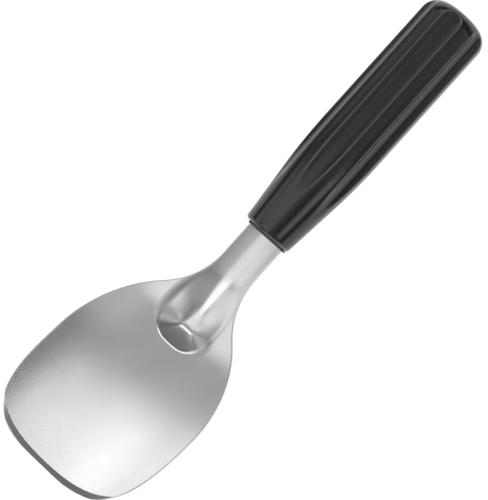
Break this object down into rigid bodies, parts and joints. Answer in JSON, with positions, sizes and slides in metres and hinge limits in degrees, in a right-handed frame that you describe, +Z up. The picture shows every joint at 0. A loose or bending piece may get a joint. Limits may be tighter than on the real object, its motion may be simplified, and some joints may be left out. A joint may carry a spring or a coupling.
{
  "type": "ice cream spade",
  "caption": "Ice cream spade: a dished steel blade with a ground front edge and a channelled neck, in a fluted black plastic handle.",
  "frame": {"origin": "middle of the base, on the surface that the spade lies on, hollow side up", "axes": "+X along the spade from the blade's tip to the butt, +Z up, +Y across it"},
  "size_m": [0.2362, 0.069, 0.034],
  "materials": {
    "steel": "satin",
    "black_plastic": "semi-gloss"
  },
  "bodies": {
    "root": {"blade": "steel", "handle": "black_plastic"}
  },
  "joints": []
}
